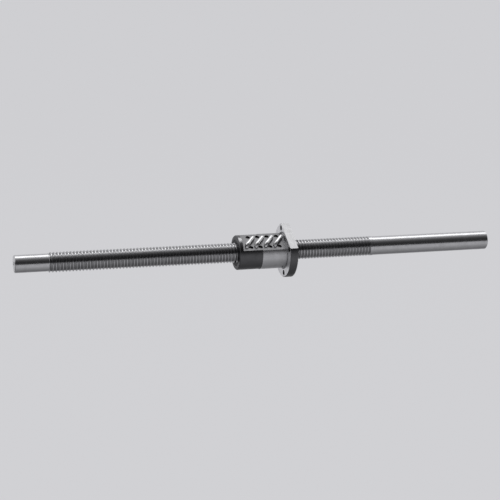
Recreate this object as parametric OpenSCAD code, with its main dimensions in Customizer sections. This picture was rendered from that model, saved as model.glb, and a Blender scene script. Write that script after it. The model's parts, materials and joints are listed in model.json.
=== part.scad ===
// Ball screw with a flanged nut and four return tubes on a milled flat.
// The shaft lies along X. The origin is on its axis, at the shoulder where the left journal ends.
// Lengths are in millimetres and angles in degrees.

/* [Thread] */
// Outside diameter of the threaded shaft
screw_d = 12; // [11:0.1:13]
// Advance of the nut for one turn of the shaft
lead = 2; // [1.9:0.05:2.2]
// Length of the thread
thread_l = 200; // [190:1:220]
// Diameter of one ball
ball_d = 1.2; // [1:0.05:1.25]
// Radial play between a ball and the two grooves it runs in
ball_play = 0.2; // [0.17:0.01:0.22]
// Height of the circle of ball centres above the crest of the thread
orbit_rise = 0.1; // [0.05:0.01:0.15]

/* [Shaft ends] */
// Diameter of the left journal, turned below the root of the thread
journal_d = 10.5; // [9:0.1:10.5]
// Length of the left journal
journal_l = 20; // [10:1:40]
// Length of the plain right end
shank_l = 80; // [40:1:120]
// Diameter of the plain right end, turned a little below the crest of the thread
shank_d = 11.6; // [10.8:0.1:11.6]
// Chamfer on both ends of the shaft
end_chamfer = 0.5; // [0.2:0.1:1]
// Diameter of the centre hole in each end
centre_d = 3; // [2:0.1:4]

/* [Nut] */
// Place of the nut's left face from the shoulder, before its groove is set over the shaft's
nut_x = 113.7; // [60:0.1:150]
// Outside diameter of the nut
nut_d = 21.5; // [21:0.1:23]
// Length of the nut up to its flange
nut_l = 30; // [30:0.1:34]
// Length of the ground seat beside the flange
seat_l = 15.5; // [8:0.5:20]
// Step from the seat down to the rest of the nut
seat_step = 0.2; // [0.2:0.01:0.3]
// Width of the undercut in the flange, round the foot of the seat
relief_w = 0.8; // [0.5:0.1:1]
// Depth of the undercut
relief_depth = 0.25; // [0.1:0.05:0.4]
// Chamfer on the nut's left rim
nut_chamfer = 0.5; // [0.2:0.1:0.8]
// Radial clearance between the shaft and the nut
bore_play = 0.3; // [0.2:0.02:0.36]

/* [Flat for the tubes] */
// Height of the milled flat above the axis
flat_h = 7.8; // [7.7:0.05:8.2]
// Distance from the nut's left face to the flat
flat_start = 2.4; // [1.8:0.1:2.5]
// Direction in which the flat faces, from +Y towards +Z
flat_deg = 123; // [90:1:180]

/* [Flange] */
// Diameter of the flange
flange_d = 33; // [32:0.5:38]
// Thickness of the flange
flange_t = 5; // [4:0.5:8]
// Height of the flat on the flange above the axis
flange_flat_h = 11.9; // [11.8:0.1:12.5]
// Diameter of the circle of bolt holes
bolt_pcd = 27.5; // [27:0.1:28]
// Diameter of a bolt hole
bolt_hole_d = 3.4; // [3:0.1:3.5]
// Chamfer on both rims of the flange
flange_chamfer = 0.4; // [0.2:0.1:0.8]

/* [Return tubes] */
// Outside diameter of a return tube
tube_d = 2.3; // [2:0.05:2.3]
// Wall of a return tube
tube_wall = 0.45; // [0.3:0.05:0.45]
// Distance from the nut's left face to the middle of the first tube
tube_x = 7.85; // [7.6:0.05:7.95]
// Distance along the shaft between the two bends of a tube
tube_spread = 5.6; // [5:0.1:5.7]
// Distance across the flat between the two bends of a tube
tube_across = 6.7; // [6.2:0.1:7]
// Radius of the bends, on the middle of the tube
tube_bend = 1.7; // [1.5:0.05:2]
// Full turns of balls in a circuit, beside the part turn round the back
full_turns = 2; // [1:1:2]

/* [Tool pockets] */
// Diameter of the round pockets beside the tubes
pocket_d = 2.7; // [2:0.1:2.8]
// Depth of the pockets
pocket_depth = 0.9; // [0.3:0.1:1]
// Distance across the flat between the two pockets of a tube
pocket_across = 9; // [8.8:0.1:9.4]
// Distance from the middle of a tube back to its pockets
pocket_back = 0.2; // [0:0.05:0.25]

/* [Wipers] */
// Outside diameter of a wiper ring
wiper_d = 15.6; // [15:0.1:16.2]
// Thickness of a wiper ring
wiper_t = 1.5; // [1:0.1:1.6]
// Depth of the wiper below the face of the nut
wiper_sink = 0.1; // [0.05:0.05:0.3]
// Clearance of the wiper on the shaft and in its seat
wiper_play = 0.2; // [0.16:0.01:0.24]

/* [Hidden] */

// Clearance of a tube in its hole and over the flat
fit = 0.06;
// A bend is a hair thicker than the straight tube, whose ends run on into it
bend_swell = 0.02;
bend_lap = 0.1;
// Overrun of a cutting shape past the face it cuts
over = 1;
// Facets of large rounds, small rounds, and one arc of the groove with its section
fine = 96;
small = 48;
arc_fine = 48;
arc_small = 16;
steel = [0.62, 0.63, 0.65];
bright = [0.82, 0.83, 0.85];
dark = [0.3, 0.3, 0.32];

// Thread
crest_r = screw_d / 2;
orbit_r = crest_r + orbit_rise;
groove_r = ball_d / 2 + ball_play;
// Each two turns of the groove are five arcs in tilted planes.
// Every other arc is a hair wider and runs on past both its ends, so that its neighbours end inside it.
arc_swell = 0.01;
arc_lap = 1;
arcs_per_turn = 2.5;
arc_deg = 360 / arcs_per_turn;
arc_step = lead / arcs_per_turn;
arc_tilt = asin(arc_step / 2 / (orbit_r * sin(arc_deg / 2)));

// Nut
nut_r = nut_d / 2;
bore_r = crest_r + bore_play;
flange_r = flange_d / 2;
nut_end = nut_l + flange_t;
wiper_seat = wiper_sink + wiper_t + wiper_play;

// Return tubes, in a frame with X along the shaft, Y across the flat and Z out of it
tube_r = tube_d / 2;
tube_h = flat_h + tube_r + fit;
corner_r = norm([tube_across / 2, tube_h]);
corner_deg = atan2(tube_across / 2, tube_h);
// Angle from the flat's normal to where a leg touches the circle of ball centres
pick_deg = corner_deg + acos(orbit_r / corner_r);
loaded_deg = 360 * (full_turns + 1) - 2 * pick_deg;
loaded_l = lead * loaded_deg / 360;
tube_n = 4;
tube_pitch = 3 * lead;
// The nut stands where the near leg of its first tube meets the groove of the shaft.
phase_x = lead * (flat_deg + pick_deg) / 360 + loaded_l / 2 - tube_x;
nut_at = phase_x + lead * round((nut_x - phase_x) / lead);
// Distance from ball to ball along their path
ball_pitch = 1.03 * ball_d;
ball_step = 360 * ball_pitch / (2 * PI * orbit_r);

function tube_mid_x(i) = nut_at + tube_x + i * tube_pitch;
function unit(v) = v / norm(v);

// One half of a tube's path, which the other half repeats half a turn round the flat's normal
foot = [-loaded_l / 2, orbit_r * sin(pick_deg), orbit_r * cos(pick_deg)];
corner = [-tube_spread / 2, tube_across / 2, tube_h];
inward = unit([0, 0, tube_h] - corner);
down = unit(foot - corner);
bend_deg = 180 - acos(inward * down);
cut_back = tube_bend * tan(bend_deg / 2);
bend_mid = corner + unit(inward + down) * tube_bend / cos(bend_deg / 2);
bend_x = unit(corner + inward * cut_back - bend_mid);
bend_y = -inward;
bend_z = cross(bend_x, bend_y);
top_l = norm([tube_spread, tube_across]) / 2 - cut_back;
bend_l = tube_bend * bend_deg * PI / 180;
leg_l = norm(foot - corner) - cut_back;
half_l = top_l + bend_l + leg_l;

// The point of the path at length s from the middle of the tube
function path_point(s) =
    s < top_l ? [0, 0, tube_h] - inward * s :
    s < top_l + bend_l ? bend_mid + tube_bend * (bend_x * cos(bend_deg * (s - top_l) / bend_l)
        + bend_y * sin(bend_deg * (s - top_l) / bend_l)) :
    corner + down * (s - top_l - bend_l + cut_back);

// A straight rod from p to q
module rod(p, q, r) {
    v = q - p;
    translate(p)
        rotate([0, acos(v[2] / norm(v)), atan2(v[1], v[0])])
            cylinder(r = r, h = norm(v), $fn = small);
}

// The path of a return tube, thickened to radius r
module tube_path(r) {
    for (turn = [0, 180])
        rotate([0, 0, turn]) {
            rod(foot, corner + down * (cut_back - bend_lap), r);
            multmatrix([[bend_x[0], bend_y[0], bend_z[0], bend_mid[0]],
                [bend_x[1], bend_y[1], bend_z[1], bend_mid[1]],
                [bend_x[2], bend_y[2], bend_z[2], bend_mid[2]],
                [0, 0, 0, 1]])
                rotate_extrude(angle = bend_deg, $fn = fine)
                    translate([tube_bend, 0])
                        circle(r = r + bend_swell, $fn = small);
        }
    rod(corner + inward * (cut_back - bend_lap),
        [-corner[0], -corner[1], tube_h] - inward * (cut_back - bend_lap), r);
}

// Places its children on the flat of the nut, at the middle of tube i
module on_flat(i) {
    translate([tube_mid_x(i), 0, 0])
        rotate([flat_deg - 90, 0, 0])
            mirror([0, 1, 0])
                children();
}

// One arc of the helical groove, number k from the origin
module groove_arc(k) {
    wide = k % 2 == 0;
    lap = wide ? arc_lap : 0;
    swell = wide ? arc_swell : 0;
    translate([(k + 0.5) * arc_step, 0, 0])
        rotate([(k + 0.5) * arc_deg, 0, 0])
            rotate([0, 90, 0])
                rotate([0, 0, 90])
                    rotate([arc_tilt, 0, 0])
                        rotate([0, 0, -arc_deg / 2 - lap])
                            rotate_extrude(angle = arc_deg + 2 * lap, $fn = arc_fine)
                                translate([orbit_r, 0])
                                    circle(r = groove_r + swell, $fn = arc_small);
}

// All arcs of the groove that reach the stretch from x0 to x1
module groove(x0, x1) {
    for (k = [floor(x0 / arc_step) : ceil(x1 / arc_step) - 1])
        groove_arc(k);
}

// A solid of revolution round the shaft's axis, from points of [x, radius]
module turned(points) {
    rotate([0, 90, 0])
        rotate_extrude($fn = fine)
            polygon([for (p = points) [p[1], p[0]]]);
}

// The threaded shaft, with its turned journal and its plain right end
module screw_shaft() {
    right = thread_l + shank_l;
    crest_end = thread_l + lead;
    shank_r = shank_d / 2;
    color(steel)
        difference() {
            turned([[-journal_l, 0], [-journal_l, journal_d / 2 - end_chamfer],
                [-journal_l + end_chamfer, journal_d / 2], [0, journal_d / 2],
                [0, crest_r - end_chamfer], [end_chamfer, crest_r],
                [crest_end, crest_r], [crest_end + crest_r - shank_r, shank_r],
                [right - end_chamfer, shank_r], [right, shank_r - end_chamfer], [right, 0]]);
            groove(-groove_r, thread_l);
            for (end = [[-journal_l, 90], [right, -90]])
                translate([end[0], 0, 0])
                    rotate([0, end[1], 0])
                        cylinder(d1 = centre_d, d2 = 0, h = centre_d * 0.866, $fn = small);
        }
}

// The outside of the nut and its flange, turned in one piece, with its seam where the flat is milled
module nut_blank() {
    low_r = nut_r - seat_step;
    rotate([flat_deg + 90, 0, 0])
        turned([[0, 0], [0, low_r - nut_chamfer], [nut_chamfer, low_r], [nut_l - seat_l, low_r],
            [nut_l - seat_l, nut_r], [nut_l, nut_r],
            [nut_l + relief_depth, nut_r + relief_w / 2], [nut_l, nut_r + relief_w],
            [nut_l, flange_r - flange_chamfer], [nut_l + flange_chamfer, flange_r],
            [nut_end - flange_chamfer, flange_r], [nut_end, flange_r - flange_chamfer],
            [nut_end, 0]]);
}

// What is bored, milled and drilled out of the nut along its own axis
module nut_cuts() {
    turned([[-over, 0], [-over, wiper_d / 2 + wiper_play], [wiper_seat, wiper_d / 2 + wiper_play],
        [wiper_seat, bore_r], [nut_end - wiper_seat, bore_r],
        [nut_end - wiper_seat, wiper_d / 2 + wiper_play],
        [nut_end + over, wiper_d / 2 + wiper_play], [nut_end + over, 0]]);
    rotate([flat_deg - 90, 0, 0]) {
        translate([flat_start, -nut_r, flat_h])
            cube([nut_l - flat_start, nut_d, nut_r]);
        translate([nut_l - over / 2, -flange_r, flange_flat_h])
            cube([flange_t + over, flange_d, flange_r]);
    }
    for (i = [0 : 3])
        rotate([flat_deg - 45 + 90 * i, 0, 0])
            translate([nut_l - over, bolt_pcd / 2, 0])
                rotate([0, 90, 0])
                    cylinder(d = bolt_hole_d, h = flange_t + 2 * over, $fn = small);
}

// The nut: body and flange in one piece, with its inner groove and the seats of the tubes
module nut_body() {
    color(steel)
        difference() {
            translate([nut_at, 0, 0]) nut_blank();
            translate([nut_at, 0, 0]) nut_cuts();
            groove(nut_at + wiper_seat - groove_r, nut_at + nut_end - wiper_seat + groove_r);
            for (i = [0 : tube_n - 1])
                on_flat(i) {
                    for (turn = [0, 180])
                        rotate([0, 0, turn]) rod(foot, corner, tube_r + fit);
                    for (side = [-1, 1])
                        translate([-pocket_back, side * pocket_across / 2, flat_h - pocket_depth])
                            cylinder(d = pocket_d, h = pocket_depth + over, $fn = small);
                }
        }
}

// A wiper ring with its left face at x
module wiper(x) {
    color(dark)
        turned([[x, crest_r + wiper_play], [x, wiper_d / 2], [x + wiper_t, wiper_d / 2],
            [x + wiper_t, crest_r + wiper_play]]);
}

module left_wiper() { wiper(nut_at + wiper_sink); }
module right_wiper() { wiper(nut_at + nut_end - wiper_sink - wiper_t); }

// Return tube i, whose legs end in the bore of the nut
module return_tube(i) {
    color(bright)
        difference() {
            on_flat(i) tube_path(tube_r);
            on_flat(i) tube_path(tube_r - tube_wall);
            translate([nut_at, 0, 0])
                rotate([0, 90, 0])
                    cylinder(r = bore_r, h = nut_end, $fn = fine);
        }
}

module return_tube_1() { return_tube(0); }
module return_tube_2() { return_tube(1); }
module return_tube_3() { return_tube(2); }
module return_tube_4() { return_tube(3); }

module ball() {
    sphere(d = ball_d, $fn = small);
}

// The loaded balls of circuit i, along the groove from one leg of its tube to the other
module loaded_balls(i) {
    last = floor(loaded_deg / ball_step);
    spare_deg = loaded_deg - last * ball_step;
    color(bright)
        for (n = [0 : last]) {
            along_deg = spare_deg / 2 + n * ball_step;
            translate([tube_mid_x(i) - loaded_l / 2 + lead * along_deg / 360, 0, 0])
                rotate([flat_deg + pick_deg + along_deg, 0, 0])
                    translate([0, orbit_r, 0])
                        ball();
        }
}

module loaded_balls_1() { loaded_balls(0); }
module loaded_balls_2() { loaded_balls(1); }
module loaded_balls_3() { loaded_balls(2); }
module loaded_balls_4() { loaded_balls(3); }

// The balls on their way back through tube i
module return_balls(i) {
    color(bright)
        on_flat(i) {
            translate(path_point(0)) ball();
            for (turn = [0, 180])
                rotate([0, 0, turn])
                    for (n = [1 : floor(half_l / ball_pitch) - 1])
                        translate(path_point(n * ball_pitch)) ball();
        }
}

module return_balls_1() { return_balls(0); }
module return_balls_2() { return_balls(1); }
module return_balls_3() { return_balls(2); }
module return_balls_4() { return_balls(3); }

screw_shaft();
nut_body();
left_wiper();
right_wiper();
return_tube_1();
return_tube_2();
return_tube_3();
return_tube_4();
loaded_balls_1();
loaded_balls_2();
loaded_balls_3();
loaded_balls_4();
return_balls_1();
return_balls_2();
return_balls_3();
return_balls_4();
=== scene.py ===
"""A ball screw with a flanged nut and four return tubes, dressed for a studio view."""

import json
import math

import bmesh
import bpy
from bpy.props import FloatProperty, FloatVectorProperty, IntProperty, PointerProperty
from mathutils import Matrix, Vector


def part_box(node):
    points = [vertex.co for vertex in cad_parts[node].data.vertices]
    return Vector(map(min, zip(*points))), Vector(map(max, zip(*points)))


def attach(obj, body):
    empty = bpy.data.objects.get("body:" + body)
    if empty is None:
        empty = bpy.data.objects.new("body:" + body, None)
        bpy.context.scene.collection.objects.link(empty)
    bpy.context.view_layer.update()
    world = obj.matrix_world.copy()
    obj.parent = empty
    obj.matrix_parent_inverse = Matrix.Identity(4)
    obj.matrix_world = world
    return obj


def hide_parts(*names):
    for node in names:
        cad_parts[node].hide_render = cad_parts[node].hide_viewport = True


bl_info = {
    "name": "Ball Screw Dressing",
    "version": (1, 0, 0),
    "blender": (4, 5, 0),
    "location": "3D View > Sidebar > Ball Screw",
    "description": "Finishes a ball screw, its flanged nut and its return tubes, and sets the stage",
    "category": "Object",
}

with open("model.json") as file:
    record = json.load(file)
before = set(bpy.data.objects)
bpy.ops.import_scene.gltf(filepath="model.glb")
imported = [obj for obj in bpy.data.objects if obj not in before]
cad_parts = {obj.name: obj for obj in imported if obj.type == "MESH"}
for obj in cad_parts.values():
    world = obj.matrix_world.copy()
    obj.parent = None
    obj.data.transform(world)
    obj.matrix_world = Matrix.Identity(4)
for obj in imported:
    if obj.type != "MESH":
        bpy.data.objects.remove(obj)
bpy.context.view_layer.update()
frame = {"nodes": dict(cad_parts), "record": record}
MM = 0.001

# Places that the frame gives
SHAFT_LOW, SHAFT_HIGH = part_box("screw_shaft")
MOUNTS = {mount["name"]: mount for mount in frame["record"]["mounts"]}
FLANGE_X = MOUNTS["flange_face"]["pos_m"][0]
SEAT_MID = MOUNTS["nut_spigot"]["pos_m"][0]
SEAT_HALF = MOUNTS["nut_spigot"]["dims"]["length_mm"] * MM / 2
SEAT_RADIUS = MOUNTS["nut_spigot"]["dims"]["r_mm"] * MM
# Distances from the axis between which the painted shade in the groove fades out
GROOVE_DEEP = SHAFT_HIGH.y - 0.6 * MM
GROOVE_EDGE = SHAFT_HIGH.y - 0.15 * MM
# The flats face away from the point that the flange face's mount names
FLAT_WAY = -Vector((0, *MOUNTS["flange_face"]["pos_m"][1:])).normalized()
LEFT_WAY = (-1.0, 0.0, 0.0)
# Heights over the axis between which the nut's flat gives way to the flange's, which is painted
# lighter
FLATS_PART = (SEAT_RADIUS - 0.7 * MM, SEAT_RADIUS - 0.3 * MM)
# Distances from the axis between which the painted shade of the nut's hollows gives way to its outside
HOLLOWS_PART = (SEAT_RADIUS - 0.9 * MM, SEAT_RADIUS - 0.6 * MM)
# Half the width of the band that marks the flange's left face
FACE_HALF = 0.2 * MM

# How much painted shade darkens the groove, how much oil film shows on the nut, and the colour of both
GROOVE_SHADE = 0.6
NUT_OIL = 0.2
OIL_AND_SHADE = (0.05, 0.05, 0.05)
# Levels between which a noise texture mostly lies
NOISE_SPAN = (0.3, 0.7)
# Shares of its roughness to which streaks take a steel, and the share that a film adds
STREAK_LOW = 0.8
STREAK_HIGH = 1.25
FILM_ROUGHNESS = 0.3
# Lowest and highest roughness of the nut and of the wipers
NUT_ROUGHNESS = (0.3, 0.42)
WIPER_ROUGHNESS = (0.5, 0.65)

# Facets round the cove, and steps up its fillet
COVE_FACETS = 96
COVE_STEPS = 12


# Settings

class ShaftSettings(bpy.types.PropertyGroup):
    """Sizes of the threaded shaft"""

    crest_radius: FloatProperty(
        name="Crest radius", description="Radius of the thread's crests",
        default=SHAFT_HIGH.y, unit="LENGTH")
    shank_radius: FloatProperty(
        name="Shank radius", description="Radius of the plain right end",
        default=MOUNTS["right_shank"]["dims"]["r_mm"] * MM, unit="LENGTH")
    journal_radius: FloatProperty(
        name="Journal radius", description="Radius of the left journal",
        default=MOUNTS["left_journal"]["dims"]["r_mm"] * MM, unit="LENGTH")
    thread_length: FloatProperty(
        name="Thread length", description="Length of the thread from the shoulder",
        default=0.2, unit="LENGTH")
    lead: FloatProperty(
        name="Lead", description="Advance of the nut for one turn",
        default=0.002, unit="LENGTH")
    orbit_radius: FloatProperty(
        name="Ball circle", description="Radius of the circle of ball centres",
        default=0.0061, unit="LENGTH")
    groove_radius: FloatProperty(
        name="Groove radius", description="Radius of the groove's round section",
        default=0.0008, unit="LENGTH")
    chamfer: FloatProperty(
        name="Chamfer", description="Chamfer of the ends and of the shoulder",
        default=0.0005, unit="LENGTH")
    centre_radius: FloatProperty(
        name="Centre hole", description="Radius of the centre hole in each end",
        default=0.0015, unit="LENGTH")
    rounds: IntProperty(
        name="Facets", description="Facets round the shaft", default=128, min=16)


class FinishSettings(bpy.types.PropertyGroup):
    """Colours of the metals and of the wipers"""

    shaft: FloatVectorProperty(
        name="Shaft steel", description="Colour of the ground shaft",
        default=(0.66, 0.66, 0.67), subtype="COLOR")
    nut: FloatVectorProperty(
        name="Turned steel", description="Colour of the nut's turned faces",
        default=(0.15, 0.15, 0.154), subtype="COLOR")
    seat: FloatVectorProperty(
        name="Ground steel", description="Colour of the nut's ground seat",
        default=(0.7, 0.7, 0.71), subtype="COLOR")
    flat: FloatVectorProperty(
        name="Milled steel", description="Colour of the nut's milled flat",
        default=(0.19, 0.19, 0.194), subtype="COLOR")
    # Painted light: the flange's flat is the nut's milled steel, painted lighter
    lit_flange_flat: FloatVectorProperty(
        name="Lit milled flange", description="Colour of the flange's flat",
        default=(0.46, 0.46, 0.465), subtype="COLOR")
    face: FloatVectorProperty(
        name="Faced steel", description="Colour of the flange's faced side",
        default=(0.85, 0.85, 0.86), subtype="COLOR")
    # Painted shade: near black laid in the nut's bore and pockets, and on its left end
    inside: FloatVectorProperty(
        name="Painted hollow shade", description="Colour of the nut's bore, pockets and left end",
        default=(0.04, 0.04, 0.042), subtype="COLOR")
    tube: FloatVectorProperty(
        name="Tube steel", description="Colour of the bright return tubes",
        default=(0.9, 0.9, 0.9), subtype="COLOR")
    ball: FloatVectorProperty(
        name="Ball steel", description="Colour of the polished balls",
        default=(0.8, 0.8, 0.82), subtype="COLOR")
    wiper: FloatVectorProperty(
        name="Wiper", description="Colour of the moulded wipers",
        default=(0.02, 0.02, 0.022), subtype="COLOR")


class StageSettings(bpy.types.PropertyGroup):
    """Camera, lamp and cove"""

    azimuth: FloatProperty(
        name="Azimuth", description="Camera's turn round the object",
        default=math.radians(-16.5), subtype="ANGLE")
    elevation: FloatProperty(
        name="Elevation", description="Camera's height above the horizon",
        default=math.radians(10.0), subtype="ANGLE")
    distance: FloatProperty(
        name="Distance", description="Distance from the camera to the aimed point",
        default=0.83, unit="LENGTH")
    lens: FloatProperty(name="Lens", description="Focal length in millimetres", default=98.0)
    sensor: FloatProperty(name="Sensor", description="Sensor's width in millimetres", default=36.0)
    aim: FloatVectorProperty(
        name="Aim", description="Point at the middle of the picture",
        default=(0.1231, 0.0, 0.0012), subtype="XYZ", unit="LENGTH")
    floor_depth: FloatProperty(
        name="Floor depth", description="Depth of the floor below the shaft's axis",
        default=0.22, unit="LENGTH")
    cove_radius: FloatProperty(
        name="Cove radius", description="Radius of the flat floor", default=2.2, unit="LENGTH")
    cove_height: FloatProperty(
        name="Cove height", description="Height of the cove's wall", default=0.85, unit="LENGTH")
    grey: FloatVectorProperty(
        name="Cove colour", description="Colour of the floor and wall",
        default=(0.65, 0.65, 0.672), subtype="COLOR")
    lamp_size: FloatVectorProperty(
        name="Lamp size", description="Length and depth of the softbox",
        default=(1.8, 0.42), size=2, unit="LENGTH")
    lamp_power: FloatProperty(name="Lamp power", description="Power in watts", default=3.2)
    lamp_place: FloatVectorProperty(
        name="Lamp place", description="Place of the softbox from the aimed point",
        default=(0.0, 0.28, 0.95), subtype="XYZ", unit="LENGTH")


# Mesh helpers

def make_object(name, mesh):
    """Links a new object that holds the mesh."""
    piece = bpy.data.objects.new(name, mesh)
    bpy.context.scene.collection.objects.link(piece)
    return piece


def turned_mesh(name, profile, facets):
    """A solid of revolution round X, from points of (x, radius); a radius of 0 closes an end."""
    shape = bmesh.new()
    rings = []
    for x, radius in profile:
        if radius == 0:
            rings.append([shape.verts.new((x, 0, 0))])
            continue
        ring = []
        for step in range(facets):
            angle = 2 * math.pi * step / facets
            ring.append(shape.verts.new((x, radius * math.cos(angle), radius * math.sin(angle))))
        rings.append(ring)
    for near, far in zip(rings, rings[1:]):
        for step in range(facets):
            after = (step + 1) % facets
            corners = [near[step % len(near)], near[after % len(near)],
                       far[after % len(far)], far[step % len(far)]]
            shape.faces.new(list(dict.fromkeys(corners)))
    bmesh.ops.recalc_face_normals(shape, faces=shape.faces)
    mesh = bpy.data.meshes.new(name)
    shape.to_mesh(mesh)
    shape.free()
    return mesh


def bake(piece):
    """Turns the piece's modifiers into a plain mesh."""
    evaluated = piece.evaluated_get(bpy.context.evaluated_depsgraph_get())
    mesh = bpy.data.meshes.new_from_object(evaluated)
    mesh.name = piece.name
    piece.modifiers.clear()
    old = piece.data
    piece.data = mesh
    bpy.data.meshes.remove(old)


# Node helpers

class Tree:
    """Adds nodes to a node tree and joins them"""

    def __init__(self, tree):
        self.tree = tree

    def add(self, kind, inputs=None, **settings):
        """A new node; inputs maps a socket's name or number to a value or another node's socket."""
        node = self.tree.nodes.new(kind)
        for key, value in settings.items():
            setattr(node, key, value)
        for key, value in (inputs or {}).items():
            socket = node.inputs[key]
            if isinstance(value, bpy.types.NodeSocket):
                self.tree.links.new(value, socket)
            else:
                socket.default_value = value
        return node

    def math(self, operation, first, second=0.0, third=0.0):
        """The result of one arithmetic step."""
        inputs = {0: first, 1: second}
        if operation == "MULTIPLY_ADD":
            inputs[2] = third
        return self.add("ShaderNodeMath", inputs, operation=operation).outputs[0]

    def span(self, value, low, high, start=0.0, end=1.0):
        """The value carried from low..high to start..end, kept within them."""
        node = self.add("ShaderNodeMapRange", {0: value, 1: low, 2: high, 3: start, 4: end})
        return node.outputs[0]


def group_tree(name, kind, inputs, outputs):
    """A node group with its sockets: inputs and outputs are (name, socket type, default)."""
    tree = bpy.data.node_groups.new(name, kind)
    for label, socket_type, default in inputs:
        socket = tree.interface.new_socket(label, in_out="INPUT", socket_type=socket_type)
        if default is not None:
            socket.default_value = default
    for label, socket_type in outputs:
        tree.interface.new_socket(label, in_out="OUTPUT", socket_type=socket_type)
    return tree


# The threaded shaft

def groove_tree():
    """Geometry nodes that cut a helical ball groove round X into what comes in."""
    tree = group_tree(
        "helical groove", "GeometryNodeTree",
        [("Geometry", "NodeSocketGeometry", None),
         ("Lead", "NodeSocketFloat", 0.002),
         ("Start", "NodeSocketFloat", -0.001),
         ("End", "NodeSocketFloat", 0.2),
         ("Orbit Radius", "NodeSocketFloat", 0.0061),
         ("Groove Radius", "NodeSocketFloat", 0.0008),
         ("Run Out", "NodeSocketFloat", 0.0007),
         ("Steps", "NodeSocketInt", 4800),
         ("Section Facets", "NodeSocketInt", 22),
         ("Material", "NodeSocketMaterial", None)],
        [("Geometry", "NodeSocketGeometry")])
    t = Tree(tree)
    given = t.add("NodeGroupInput").outputs
    start = t.add("ShaderNodeCombineXYZ", {0: given["Start"]}).outputs[0]
    end = t.add("ShaderNodeCombineXYZ", {0: given["End"]}).outputs[0]
    line = t.add("GeometryNodeCurvePrimitiveLine", {"Start": start, "End": end}).outputs[0]
    path = t.add("GeometryNodeResampleCurve", {"Curve": line, "Count": given["Steps"]}).outputs[0]
    along = t.add("ShaderNodeSeparateXYZ", {0: t.add("GeometryNodeInputPosition").outputs[0]})
    x = along.outputs[0]
    turns = t.math("DIVIDE", x, given["Lead"])
    angle = t.math("MULTIPLY", turns, 2 * math.pi)
    # The tool lifts out of the metal over the last part of a turn
    left = t.math("SUBTRACT", given["End"], x)
    lift = t.span(left, given["Run Out"], 0.0, 0.0, 1.0)
    radius = t.math("MULTIPLY_ADD", t.math("MULTIPLY", lift, lift), given["Groove Radius"],
                    given["Orbit Radius"])
    y = t.math("MULTIPLY", radius, t.math("COSINE", angle))
    z = t.math("MULTIPLY", radius, t.math("SINE", angle))
    place = t.add("ShaderNodeCombineXYZ", {0: x, 1: y, 2: z}).outputs[0]
    helix = t.add("GeometryNodeSetPosition", {"Geometry": path, "Position": place}).outputs[0]
    section = t.add("GeometryNodeCurvePrimitiveCircle", {
        "Resolution": given["Section Facets"], "Radius": given["Groove Radius"]}).outputs[0]
    tool = t.add("GeometryNodeCurveToMesh", {
        "Curve": helix, "Profile Curve": section, "Fill Caps": True}).outputs[0]
    cut = t.add("GeometryNodeMeshBoolean", {"Mesh 1": given["Geometry"], "Mesh 2": tool},
                operation="DIFFERENCE", solver="MANIFOLD").outputs[0]
    smooth = t.add("GeometryNodeSetShadeSmooth", {"Geometry": cut}).outputs[0]
    bend = t.add("GeometryNodeInputMeshEdgeAngle").outputs[0]
    sharp = t.add("FunctionNodeCompare", {0: bend, 1: math.radians(28)},
                  operation="GREATER_THAN").outputs[0]
    edged = t.add("GeometryNodeSetShadeSmooth", {
        "Geometry": smooth, "Selection": sharp, "Shade Smooth": False}, domain="EDGE").outputs[0]
    real = t.add("GeometryNodeRealizeInstances", {0: edged}).outputs[0]
    dressed = t.add("GeometryNodeSetMaterial", {
        "Geometry": real, "Material": given["Material"]}).outputs[0]
    t.add("NodeGroupOutput", {0: dressed})
    return tree


def set_input(modifier, label, value):
    """Sets a geometry nodes input by its label, through the socket's identifier."""
    for item in modifier.node_group.interface.items_tree:
        if item.item_type == "SOCKET" and item.in_out == "INPUT" and item.name == label:
            modifier[item.identifier] = value
            return
    raise KeyError(label)


class BALLSCREW_OT_shaft(bpy.types.Operator):
    """Makes the shaft with its helical ball groove, in place of its CAD solid"""

    bl_idname = "ballscrew.shaft"
    bl_label = "Threaded Shaft"

    def execute(self, context):
        sizes = context.scene.ballscrew_shaft
        low, high = SHAFT_LOW.x, SHAFT_HIGH.x
        crest, journal, bevel = sizes.crest_radius, sizes.journal_radius, sizes.chamfer
        shank, centre = sizes.shank_radius, sizes.centre_radius
        centre_depth = centre * math.sqrt(3)
        crest_end = sizes.thread_length + sizes.lead
        profile = [
            (low + centre_depth, 0), (low, centre), (low, journal - bevel), (low + bevel, journal),
            (0, journal), (0, crest - bevel), (bevel, crest), (crest_end, crest),
            (crest_end + crest - shank, shank), (high - bevel, shank), (high, shank - bevel),
            (high, centre), (high - centre_depth, 0)]
        piece = make_object("threaded_shaft", turned_mesh("threaded_shaft", profile, sizes.rounds))
        cut = piece.modifiers.new("groove", "NODES")
        cut.node_group = groove_tree()
        set_input(cut, "Lead", sizes.lead)
        set_input(cut, "Start", -sizes.lead / 2)
        set_input(cut, "End", sizes.thread_length)
        set_input(cut, "Orbit Radius", sizes.orbit_radius)
        set_input(cut, "Groove Radius", sizes.groove_radius)
        set_input(cut, "Material", shaft_material())
        bake(piece)
        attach(piece, "screw")
        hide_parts("screw_shaft")
        return {"FINISHED"}


# Shared effects of the materials

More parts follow.
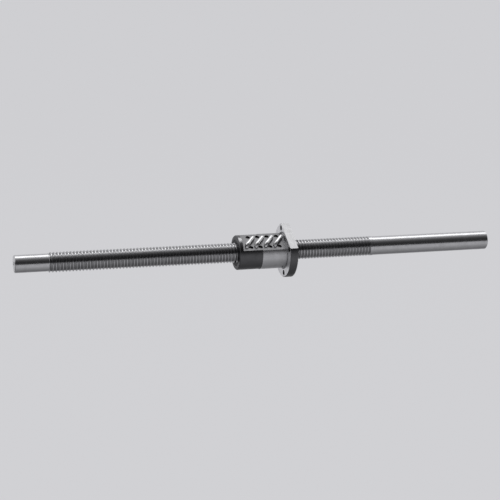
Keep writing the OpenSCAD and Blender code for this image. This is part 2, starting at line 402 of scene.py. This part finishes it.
def turning_marks():
    """Fine rings round the shaft's axis, as grinding and turning leave them."""
    name = "turning marks"
    if name in bpy.data.node_groups:
        return bpy.data.node_groups[name]
    tree = group_tree(name, "ShaderNodeTree",
                      [("Rings per mm", "NodeSocketFloat", 6.0), ("Waviness", "NodeSocketFloat", 0.3)],
                      [("Height", "NodeSocketFloat"), ("Streak", "NodeSocketFloat")])
    t = Tree(tree)
    given = t.add("NodeGroupInput").outputs
    place = t.add("ShaderNodeTexCoord").outputs["Object"]
    part = t.add("ShaderNodeSeparateXYZ", {0: place}).outputs
    across = t.math("MULTIPLY", part[0], t.math("MULTIPLY", given["Rings per mm"], 1 / MM))
    turn = t.math("ARCTAN2", part[2], part[1])
    drift = t.math("MULTIPLY", turn, given["Waviness"])
    at = t.add("ShaderNodeCombineXYZ", {0: across, 1: drift}).outputs[0]
    fine = t.add("ShaderNodeTexNoise", {"Vector": at, "Scale": 1.0, "Detail": 2.0}).outputs[0]
    wide = t.add("ShaderNodeTexNoise", {"Vector": at, "Scale": 0.07, "Detail": 3.0}).outputs[0]
    t.add("NodeGroupOutput", {"Height": fine, "Streak": wide})
    return tree


def handling_film():
    """Soft patches of oil film and handling, larger than the machining marks."""
    name = "handling film"
    if name in bpy.data.node_groups:
        return bpy.data.node_groups[name]
    tree = group_tree(name, "ShaderNodeTree",
                      [("Size", "NodeSocketFloat", 0.004), ("Contrast", "NodeSocketFloat", 0.5)],
                      [("Mask", "NodeSocketFloat")])
    t = Tree(tree)
    given = t.add("NodeGroupInput").outputs
    place = t.add("ShaderNodeTexCoord").outputs["Object"]
    scale = t.math("DIVIDE", 1.0, given["Size"])
    cloud = t.add("ShaderNodeTexNoise", {
        "Vector": place, "Scale": scale, "Detail": 4.0, "Roughness": 0.6}).outputs[0]
    # Patches start at a noise level that rises with the contrast, and are full at the last one
    lowest, rise, full = 0.2, 0.3, 0.75
    start = t.math("MULTIPLY_ADD", given["Contrast"], rise, lowest)
    t.add("NodeGroupOutput", {"Mask": t.span(cloud, start, full)})
    return tree


def band():
    """A mask that is 1 between two places along X, with soft ends."""
    name = "band along X"
    if name in bpy.data.node_groups:
        return bpy.data.node_groups[name]
    tree = group_tree(name, "ShaderNodeTree",
                      [("From", "NodeSocketFloat", 0.0), ("To", "NodeSocketFloat", 1.0),
                       ("Blur", "NodeSocketFloat", 0.0001)],
                      [("Mask", "NodeSocketFloat")])
    t = Tree(tree)
    given = t.add("NodeGroupInput").outputs
    x = t.add("ShaderNodeSeparateXYZ", {0: t.add("ShaderNodeTexCoord").outputs["Object"]}).outputs[0]
    rise = t.span(x, t.math("SUBTRACT", given["From"], given["Blur"]), given["From"])
    fall = t.span(x, given["To"], t.math("ADD", given["To"], given["Blur"]), 1.0, 0.0)
    t.add("NodeGroupOutput", {"Mask": t.math("MULTIPLY", rise, fall)})
    return tree


def facing():
    """A mask that is 1 where a surface faces along a direction."""
    name = "facing a way"
    if name in bpy.data.node_groups:
        return bpy.data.node_groups[name]
    tree = group_tree(name, "ShaderNodeTree", [("Way", "NodeSocketVector", (0.0, 0.0, 1.0))],
                      [("Mask", "NodeSocketFloat")])
    t = Tree(tree)
    given = t.add("NodeGroupInput").outputs
    normal = t.add("ShaderNodeTexCoord").outputs["Normal"]
    along = t.add("ShaderNodeVectorMath", {0: normal, 1: given["Way"]}, operation="DOT_PRODUCT")
    # Cosines: gone at 14 degrees from the direction, and full within 8
    gone, full = 0.97, 0.99
    t.add("NodeGroupOutput", {"Mask": t.span(along.outputs["Value"], gone, full)})
    return tree


def new_material(name, viewport):
    """An empty node material with its Principled BSDF, ready to be wired."""
    material = bpy.data.materials.new(name)
    material.use_nodes = True
    material.diffuse_color = (*viewport, 1)
    material.node_tree.nodes.clear()
    t = Tree(material.node_tree)
    shader = t.add("ShaderNodeBsdfPrincipled")
    t.add("ShaderNodeOutputMaterial", {0: shader.outputs[0]})
    return material, t, shader


def wire(t, value, socket):
    """Joins a node's output to a socket."""
    t.tree.links.new(value, socket)


def shade(t, colour, dark, mask):
    """The colour, darkened towards dark times itself where the mask is 1."""
    low = [channel * dark for channel in colour]
    mix = t.add("ShaderNodeMix", {0: mask, 6: (*colour, 1), 7: (*low, 1)}, data_type="RGBA")
    return mix.outputs[2]


def stretch(t, start, end):
    """The mask of a band between two places along X."""
    return t.add("ShaderNodeGroup", {"From": start, "To": end}, node_tree=band()).outputs[0]


def faces(t, way):
    """The mask of what faces along a direction."""
    return t.add("ShaderNodeGroup", {"Way": way}, node_tree=facing()).outputs[0]


def distance_from_axis(t, place):
    """How far a place lies from the shaft's axis."""
    part = t.add("ShaderNodeSeparateXYZ", {0: place}).outputs
    squares = [t.math("MULTIPLY", side, side) for side in (part[1], part[2])]
    return t.math("SQRT", t.math("ADD", *squares))


def lay_over(t, colour, mask, over):
    """The colour, with another laid over it where the mask is 1."""
    mix = t.add("ShaderNodeMix", {0: mask, 6: colour, 7: (*over, 1)}, data_type="RGBA")
    return mix.outputs[2]


def dress_steel(t, shader, colour, roughness, rings, bump, film):
    """Gives bare steel its turning marks and a faint film of oil, and returns its colour."""
    marks = t.add("ShaderNodeGroup", {"Rings per mm": rings}, node_tree=turning_marks())
    stain = t.add("ShaderNodeGroup", node_tree=handling_film())
    shader.inputs["Metallic"].default_value = 1.0
    shaded = shade(t, colour, 1.0 - film, stain.outputs["Mask"])
    wire(t, shaded, shader.inputs["Base Color"])
    streaked = t.span(marks.outputs["Streak"], *NOISE_SPAN,
                      roughness * STREAK_LOW, roughness * STREAK_HIGH)
    rough = t.math("MULTIPLY_ADD", stain.outputs["Mask"], roughness * FILM_ROUGHNESS, streaked)
    wire(t, rough, shader.inputs["Roughness"])
    dent = t.add("ShaderNodeBump", {"Height": marks.outputs["Height"], "Strength": bump,
                                    "Distance": 0.02 * MM})
    wire(t, dent.outputs[0], shader.inputs["Normal"])
    return shaded


def steel(name, colour, roughness, rings, bump, film):
    """Bare steel in one colour."""
    material, t, shader = new_material(name, colour)
    dress_steel(t, shader, colour, roughness, rings, bump, film)
    return material


def shaft_material():
    """Ground and polished steel of the shaft, with painted shade that darkens its groove."""
    sizes = bpy.context.scene.ballscrew_shaft
    colour = tuple(bpy.context.scene.ballscrew_finish.shaft)
    material, t, shader = new_material("ground shaft steel", colour)
    clean = dress_steel(t, shader, colour, roughness=0.2, rings=5.0, bump=0.15, film=0.12)
    from_axis = distance_from_axis(t, t.add("ShaderNodeTexCoord").outputs["Object"])
    # Painted shade: the groove is darkened towards its bottom
    groove_shade = t.span(from_axis, GROOVE_DEEP, GROOVE_EDGE, GROOVE_SHADE, 0.0)
    mask = t.math("MULTIPLY", groove_shade, stretch(t, sizes.chamfer, sizes.thread_length))
    wire(t, lay_over(t, clean, mask, OIL_AND_SHADE), shader.inputs["Base Color"])
    return material


def nut_material():
    """The nut: dark turned steel, a light ground seat and flange face, grey milled flats, painted
    shade in its hollows and on its left end, and a flange flat painted lighter.
    """
    finish = bpy.context.scene.ballscrew_finish
    material, t, shader = new_material("nut steel", tuple(finish.nut))
    shader.inputs["Metallic"].default_value = 1.0
    marks = t.add("ShaderNodeGroup", {"Rings per mm": 4.0}, node_tree=turning_marks())
    stain = t.add("ShaderNodeGroup", node_tree=handling_film())
    milled = faces(t, tuple(FLAT_WAY))
    left = faces(t, LEFT_WAY)
    seat = stretch(t, SEAT_MID - SEAT_HALF, FLANGE_X)
    flange_face = stretch(t, FLANGE_X - FACE_HALF, FLANGE_X + FACE_HALF)
    place = t.add("ShaderNodeTexCoord").outputs["Object"]
    over_axis = t.add("ShaderNodeVectorMath", {0: place, 1: tuple(FLAT_WAY)},
                      operation="DOT_PRODUCT").outputs["Value"]
    round_part = t.math("SUBTRACT", 1.0, milled)
    on_flange = t.span(over_axis, *FLATS_PART)
    # Painted shade in the nut's hollows; the left-facing faces are painted near black as well
    hollow = t.span(distance_from_axis(t, place), *HOLLOWS_PART, 1.0, 0.0)
    # From the lowest to the highest: where each colour shows, and the colour
    layers = [
        (t.math("MULTIPLY", seat, round_part), finish.seat),
        (t.math("MULTIPLY", t.math("MAXIMUM", hollow, left), round_part), finish.inside),
        (milled, finish.flat),
        # Painted light: the flange's flat painted lighter than the nut's flat
        (t.math("MULTIPLY", milled, on_flange), finish.lit_flange_flat),
        (t.math("MULTIPLY", left, flange_face), finish.face),
        (t.math("MULTIPLY", stain.outputs[0], NUT_OIL), OIL_AND_SHADE)]
    colour = (*finish.nut, 1)
    for mask, over in layers:
        colour = lay_over(t, colour, mask, over)
    wire(t, colour, shader.inputs["Base Color"])
    rough = t.span(marks.outputs["Streak"], *NOISE_SPAN, *NUT_ROUGHNESS)
    wire(t, rough, shader.inputs["Roughness"])
    dent = t.add("ShaderNodeBump", {"Height": marks.outputs["Height"], "Strength": 0.25,
                                    "Distance": 0.03 * MM})
    wire(t, dent.outputs[0], shader.inputs["Normal"])
    return material


def wiper_material():
    """Dark moulded plastic of the wipers."""
    colour = tuple(bpy.context.scene.ballscrew_finish.wiper)
    material, t, shader = new_material("wiper plastic", colour)
    grain = t.add("ShaderNodeTexNoise", {
        "Vector": t.add("ShaderNodeTexCoord").outputs["Object"], "Scale": 4000.0, "Detail": 3.0})
    wire(t, shade(t, colour, dark=0.6, mask=grain.outputs[0]), shader.inputs["Base Color"])
    rough = t.span(grain.outputs[0], *NOISE_SPAN, *WIPER_ROUGHNESS)
    wire(t, rough, shader.inputs["Roughness"])
    dent = t.add("ShaderNodeBump", {"Height": grain.outputs[0], "Strength": 0.2,
                                    "Distance": 0.03 * MM})
    wire(t, dent.outputs[0], shader.inputs["Normal"])
    return material


class BALLSCREW_OT_finishes(bpy.types.Operator):
    """Gives the nut, tubes, balls and wipers their materials"""

    bl_idname = "ballscrew.finishes"
    bl_label = "Finishes"

    def execute(self, context):
        finish = context.scene.ballscrew_finish
        by_start = {
            "nut_body": nut_material(),
            "return_tube": steel("bright tube steel", tuple(finish.tube),
                                 roughness=0.3, rings=3.0, bump=0.1, film=0.1),
            "loaded_balls": steel("ball steel", tuple(finish.ball),
                                  roughness=0.08, rings=1.0, bump=0.0, film=0.1),
            "left_wiper": wiper_material(),
        }
        by_start["return_balls"] = by_start["loaded_balls"]
        by_start["right_wiper"] = by_start["left_wiper"]
        for name, node in frame["nodes"].items():
            for start, material in by_start.items():
                if name.startswith(start):
                    node.data.materials.clear()
                    node.data.materials.append(material)
        return {"FINISHED"}


# Stage

def cove_material(colour):
    """Pale cove: even to the camera, but dimmed in reflections, and with little shadow.

    Reflections see a painted shadow under the object, a painted brighter back, and a painted dark
    front above the floor. So metal doesn't show the background that the camera sees.
    """
    # The share of the cove's look that is its own light; only the rest shows a shadow
    own_light = 0.95
    # The painted shadow strip on the floor in reflections: its middle, how far it reaches, and the
    # levels there and beyond
    strip_y, strip_reach = 0.06, 0.35
    strip_level, floor_level = 0.27, 0.78
    # Where the painted brightening of the back in reflections starts and is full, and the gain
    back_start, back_full, back_gain = 0.3, 1.0, 1.28
    # Where the painted dark front in reflections is full and where it ends, the heights between which
    # it darkens, and how much
    front_full, front_end = -0.3, 0.3
    dark_start, dark_full, dark_cut = -0.2, -0.05, 0.95
    material = bpy.data.materials.new("pale cove")
    material.use_nodes = True
    material.node_tree.nodes.clear()
    t = Tree(material.node_tree)
    path = t.add("ShaderNodeLightPath").outputs
    mirrored = t.math("MAXIMUM", path["Is Glossy Ray"], path["Is Transmission Ray"])
    seen = t.math("MAXIMUM", path["Is Camera Ray"], mirrored)
    plain = t.add("ShaderNodeBsdfDiffuse", {"Color": (*colour, 1)}).outputs[0]
    place = t.add("ShaderNodeSeparateXYZ", {0: t.add("ShaderNodeNewGeometry").outputs["Position"]})
    depth, height = place.outputs[1], place.outputs[2]
    # Painted reflection: the painted shadow strip, the painted brighter back and the painted dark
    # front that mirror rays see
    from_strip = t.math("ABSOLUTE", t.math("SUBTRACT", depth, strip_y))
    floor = t.span(from_strip, 0.0, strip_reach, strip_level, floor_level)
    behind = t.span(depth, back_start, back_full, 1.0, back_gain)
    in_front = t.span(depth, front_full, front_end, 1.0, 0.0)
    cut = t.math("MULTIPLY", in_front, t.span(height, dark_start, dark_full, 0.0, dark_cut))
    reflected = t.math("MULTIPLY", t.math("MULTIPLY", floor, behind), t.math("SUBTRACT", 1.0, cut))
    level = t.add("ShaderNodeMix", {0: path["Is Camera Ray"], 2: reflected, 3: 1.0}).outputs[0]
    glow = t.add("ShaderNodeEmission", {"Color": (*colour, 1), "Strength": level}).outputs[0]
    share = t.math("MULTIPLY", seen, own_light)
    both = t.add("ShaderNodeMixShader", {0: share, 1: plain, 2: glow}).outputs[0]
    t.add("ShaderNodeOutputMaterial", {0: both})
    return material


def add_lamp(name, size, power, place, target):
    """An area lamp that faces the target."""
    lamp = bpy.data.lights.new(name, "AREA")
    lamp.shape = "RECTANGLE"
    lamp.size, lamp.size_y = size
    lamp.energy = power
    holder = bpy.data.objects.new(name, lamp)
    holder.location = place
    direction = Vector(target) - Vector(place)
    holder.rotation_euler = direction.to_track_quat("-Z", "Y").to_euler()
    bpy.context.scene.collection.objects.link(holder)


def studio_world():
    """A surround that is dark in front, brightens overhead and is pale behind."""
    blue_share = 1.03
    # Angle over the shaft in degrees, from the front horizon up and over to the back, and its level
    levels = [(0, 0.03), (28, 0.035), (45, 0.06), (60, 0.13), (74, 0.3), (90, 0.55), (106, 0.75),
              (125, 0.7), (150, 0.6), (180, 0.6)]
    world = bpy.data.worlds.new("studio")
    world.use_nodes = True
    world.node_tree.nodes.clear()
    t = Tree(world.node_tree)
    way = t.add("ShaderNodeSeparateXYZ", {0: t.add("ShaderNodeTexCoord").outputs["Generated"]})
    front = t.math("MULTIPLY", way.outputs[1], -1.0)
    over = t.math("ARCTAN2", way.outputs[2], front)
    ramp = t.add("ShaderNodeValToRGB", {0: t.math("DIVIDE", over, math.pi)})
    stops = ramp.color_ramp.elements
    while len(stops) < len(levels):
        stops.new(0.5)
    for stop, (angle, level) in zip(stops, levels):
        stop.position = angle / 180
        stop.color = (level, level, level * blue_share, 1)
    back = t.add("ShaderNodeBackground", {"Color": ramp.outputs[0], "Strength": 1.0})
    t.add("ShaderNodeOutputWorld", {0: back.outputs[0]})
    bpy.context.scene.world = world


class BALLSCREW_OT_stage(bpy.types.Operator):
    """Makes the cove, the lamp, the world and the camera"""

    bl_idname = "ballscrew.stage"
    bl_label = "Stage"

    def execute(self, context):
        stage = context.scene.ballscrew_stage
        floor, radius, height = -stage.floor_depth, stage.cove_radius, stage.cove_height
        fillet = height / 2
        profile = [(floor, 0), (floor, radius)]
        for step in range(1, COVE_STEPS + 1):
            angle = math.pi / 2 * step / COVE_STEPS
            profile.append((floor + fillet * (1 - math.cos(angle)),
                            radius + fillet * math.sin(angle)))
        profile.append((floor + height, radius + fillet))
        cove = make_object("cove", turned_mesh("cove", profile, COVE_FACETS))
        cove.data.transform(Matrix.Rotation(-math.pi / 2, 4, "Y"))
        for face in cove.data.polygons:
            face.use_smooth = True
        cove.data.materials.append(cove_material(tuple(stage.grey)))

        aim = Vector(stage.aim)
        add_lamp("overhead softbox", stage.lamp_size, stage.lamp_power,
                 aim + Vector(stage.lamp_place), aim)
        studio_world()

        lens = bpy.data.cameras.new("camera")
        lens.lens = stage.lens
        lens.sensor_width = stage.sensor
        camera = bpy.data.objects.new("camera", lens)
        turn, rise = stage.azimuth, stage.elevation
        back = Vector((math.sin(turn) * math.cos(rise), -math.cos(turn) * math.cos(rise),
                       math.sin(rise)))
        camera.location = aim + back * stage.distance
        camera.rotation_euler = (-back).to_track_quat("-Z", "Y").to_euler()
        context.scene.collection.objects.link(camera)
        context.scene.camera = camera
        context.scene.view_settings.view_transform = "Standard"
        return {"FINISHED"}


class BALLSCREW_PT_panel(bpy.types.Panel):
    """Lists the pieces and the stage"""

    bl_idname = "BALLSCREW_PT_panel"
    bl_label = "Ball Screw"
    bl_space_type = "VIEW_3D"
    bl_region_type = "UI"
    bl_category = "Ball Screw"

    def draw(self, context):
        for operator in OPERATORS:
            self.layout.operator(operator.bl_idname)
        for settings in (context.scene.ballscrew_shaft, context.scene.ballscrew_finish,
                         context.scene.ballscrew_stage):
            box = self.layout.box()
            for key in settings.__annotations__:
                box.prop(settings, key)


OPERATORS = (BALLSCREW_OT_shaft, BALLSCREW_OT_finishes, BALLSCREW_OT_stage)
CLASSES = (ShaftSettings, FinishSettings, StageSettings, *OPERATORS, BALLSCREW_PT_panel)


def register():
    """Registers the classes and puts the settings on the scene."""
    for item in CLASSES:
        bpy.utils.register_class(item)
    bpy.types.Scene.ballscrew_shaft = PointerProperty(type=ShaftSettings)
    bpy.types.Scene.ballscrew_finish = PointerProperty(type=FinishSettings)
    bpy.types.Scene.ballscrew_stage = PointerProperty(type=StageSettings)


def unregister():
    """Takes the settings and the classes away again."""
    del bpy.types.Scene.ballscrew_shaft
    del bpy.types.Scene.ballscrew_finish
    del bpy.types.Scene.ballscrew_stage
    for item in reversed(CLASSES):
        bpy.utils.unregister_class(item)


def main():
    """Makes every piece and the stage."""
    register()
    bpy.ops.ballscrew.shaft()
    bpy.ops.ballscrew.finishes()
    bpy.ops.ballscrew.stage()


if __name__ == "__main__":
    main()
